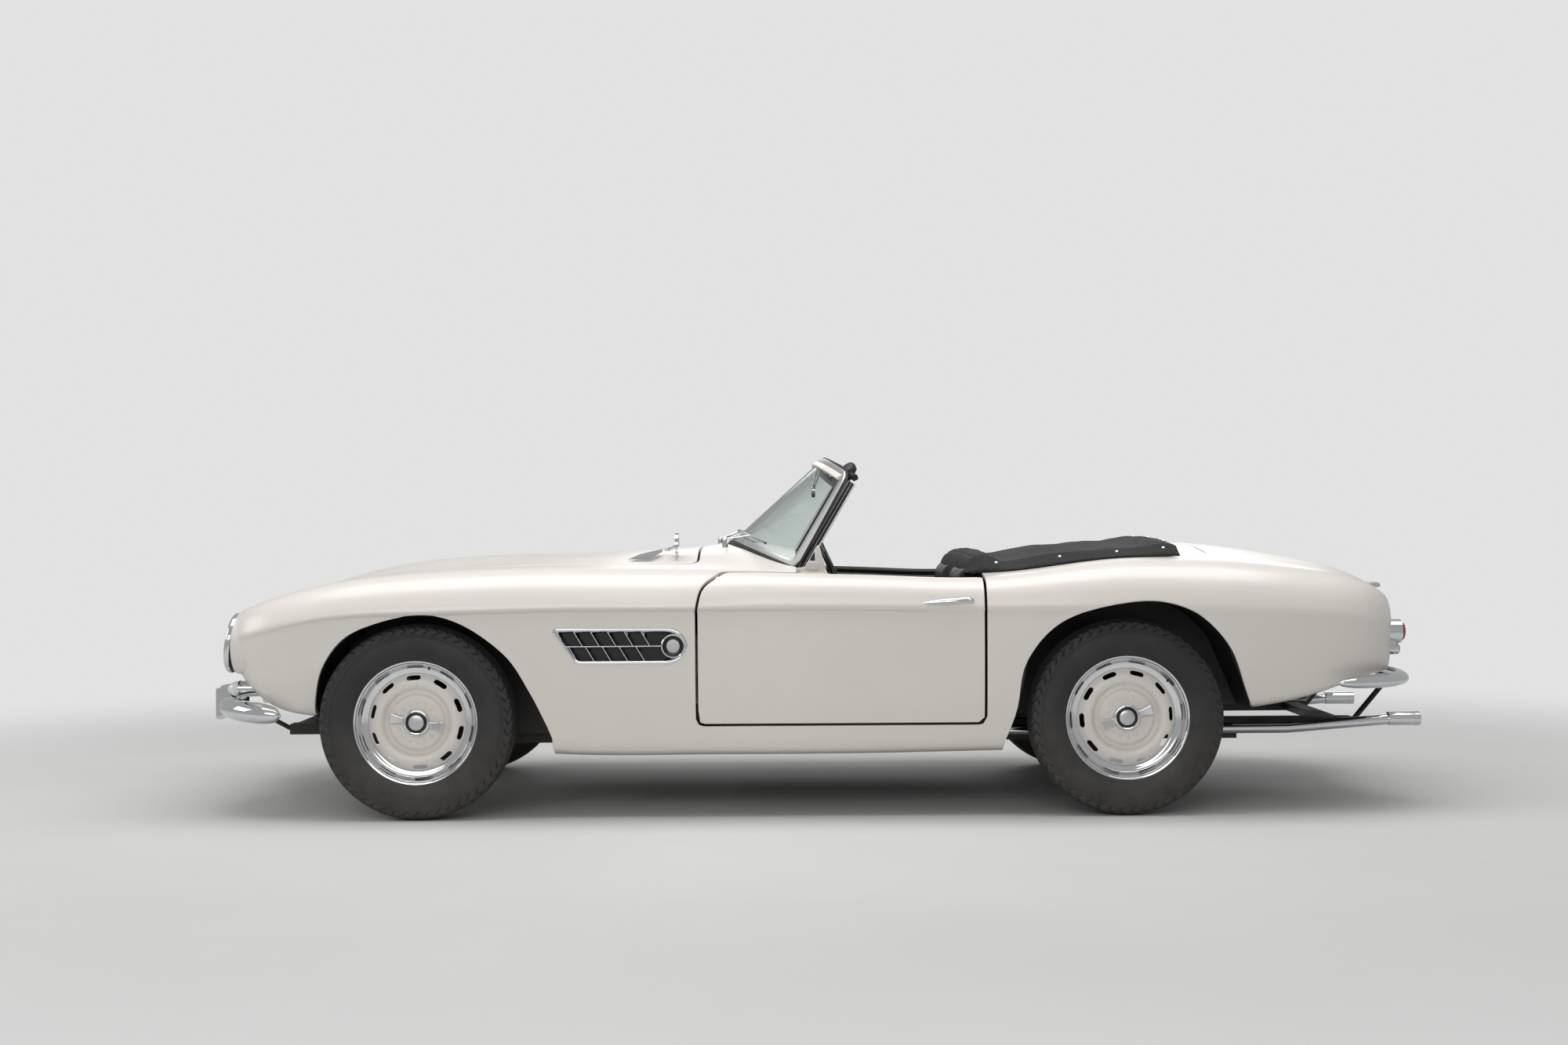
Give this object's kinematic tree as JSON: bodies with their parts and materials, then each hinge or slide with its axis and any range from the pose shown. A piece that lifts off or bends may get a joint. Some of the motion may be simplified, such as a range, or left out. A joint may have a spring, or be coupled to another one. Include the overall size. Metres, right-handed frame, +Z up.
{
  "type": "roadster car",
  "caption": "Open two-seat roadster with a long bonnet, opening doors, bonnet and boot lid, steering front wheels and turning road wheels.",
  "frame": {"origin": "on the ground under the middle of the car's length and width", "axes": "+X towards the tail, +Y to the car's right, +Z up"},
  "size_m": [4.42, 1.6564, 1.2649],
  "materials": {
    "body_paint": "gloss cream-white enamel",
    "wheel_paint": "gloss cream-white enamel with a bright rim",
    "black_steel": "satin black chassis paint",
    "tyre_rubber": "black rubber",
    "chrome": "polished chrome",
    "lamp_glass": "clear glass",
    "red_lens": "red lens",
    "black_leather": "black leather",
    "black_fabric": "black hood cloth",
    "black_plastic": "black plastic rim with bright spokes",
    "carpet": "black carpet on painted steel",
    "cast_metal": "grey castings"
  },
  "bodies": {
    "car": {"bulkhead": "black_steel", "chassis_frame": "black_steel", "dashboard": "body_paint", "engine": "cast_metal", "exhaust": "chrome", "floor_pan": "carpet", "front_arch_liners": "black_steel", "front_bumpers": "chrome", "front_grilles": "chrome", "front_suspension": "black_steel", "front_wings": "body_paint", "headlamp_lenses": "lamp_glass", "headlamp_rings": "chrome", "interior_mirror": "chrome", "nose_panel": "body_paint", "rear_arch_liners": "black_steel", "rear_axle": "black_steel", "rear_bumpers": "chrome", "rear_deck": "body_paint", "rear_tub": "body_paint", "rear_wings": "body_paint", "scuttle": "body_paint", "seat_backs": "black_leather", "seat_cushions": "black_leather", "side_vents": "chrome", "sills": "body_paint", "steering_column": "black_steel", "tail_lamp_rings": "chrome", "tail_lamps": "red_lens", "tail_panel": "body_paint", "tonneau_cover": "black_fabric", "windscreen_frame": "body_paint", "windscreen_glass": "lamp_glass", "wipers": "chrome"},
    "bonnet": {"bonnet": "body_paint", "bonnet_vents": "chrome", "wing_mirror": "chrome"},
    "boot_lid": {"boot_lid": "body_paint", "boot_handle": "chrome"},
    "door_left": {"door_left": "body_paint", "door_handle_left": "chrome"},
    "door_right": {"door_right": "body_paint", "door_handle_right": "chrome"},
    "steering_wheel": {"steering_wheel": "black_plastic"},
    "knuckle_left": {"knuckle_left": "black_steel"},
    "knuckle_right": {"knuckle_right": "black_steel"},
    "wheel_front_left": {"wheel_front_left": "wheel_paint", "tyre_front_left": "tyre_rubber", "spinner_front_left": "chrome"},
    "wheel_front_right": {"wheel_front_right": "wheel_paint", "tyre_front_right": "tyre_rubber", "spinner_front_right": "chrome"},
    "wheel_rear_left": {"wheel_rear_left": "wheel_paint", "tyre_rear_left": "tyre_rubber", "spinner_rear_left": "chrome"},
    "wheel_rear_right": {"wheel_rear_right": "wheel_paint", "tyre_rear_right": "tyre_rubber", "spinner_rear_right": "chrome"}
  },
  "joints": [
    {"name": "bonnet_hinge", "type": "hinge", "parent": "car", "child": "bonnet", "pos_m": [-2.045, 0, 0.745], "axis": [0, -1, 0], "range_deg": [0, 55]},
    {"name": "boot_hinge", "type": "hinge", "parent": "car", "child": "boot_lid", "pos_m": [1.425, 0, 0.955], "axis": [0, -1, 0], "range_deg": [0, 60]},
    {"name": "door_left_hinge", "type": "hinge", "parent": "car", "child": "door_left", "pos_m": [-0.366, -0.794, 0.55], "axis": [0, 0, -1], "range_deg": [0, 65]},
    {"name": "door_right_hinge", "type": "hinge", "parent": "car", "child": "door_right", "pos_m": [-0.366, 0.794, 0.55], "axis": [0, 0, 1], "range_deg": [0, 65]},
    {"name": "steer_left", "type": "hinge", "parent": "car", "child": "knuckle_left", "pos_m": [-1.39, -0.6825, 0.342], "axis": [0, 0, 1], "range_deg": [-30, 30]},
    {"name": "steer_right", "type": "hinge", "parent": "car", "child": "knuckle_right", "pos_m": [-1.39, 0.6825, 0.342], "axis": [0, 0, 1], "range_deg": [-30, 30]},
    {"name": "steering_column", "type": "hinge", "parent": "car", "child": "steering_wheel", "pos_m": [0.092, -0.345, 0.812], "axis": [0.9135, 0, 0.4067], "range_deg": [-450, 450]},
    {"name": "front_left_spin", "type": "hinge", "parent": "knuckle_left", "child": "wheel_front_left", "pos_m": [-1.39, -0.7225, 0.342], "axis": [0, 1, 0], "continuous": true},
    {"name": "front_right_spin", "type": "hinge", "parent": "knuckle_right", "child": "wheel_front_right", "pos_m": [-1.39, 0.7225, 0.342], "axis": [0, 1, 0], "continuous": true},
    {"name": "rear_left_spin", "type": "hinge", "parent": "car", "child": "wheel_rear_left", "pos_m": [1.09, -0.7125, 0.342], "axis": [0, 1, 0], "continuous": true},
    {"name": "rear_right_spin", "type": "hinge", "parent": "car", "child": "wheel_rear_right", "pos_m": [1.09, 0.7125, 0.342], "axis": [0, 1, 0], "continuous": true}
  ],
  "couplings": [
    {"joint": "steer_right", "follows": "steer_left", "ratio": 1},
    {"joint": "steering_column", "follows": "steer_left", "ratio": 15}
  ]
}
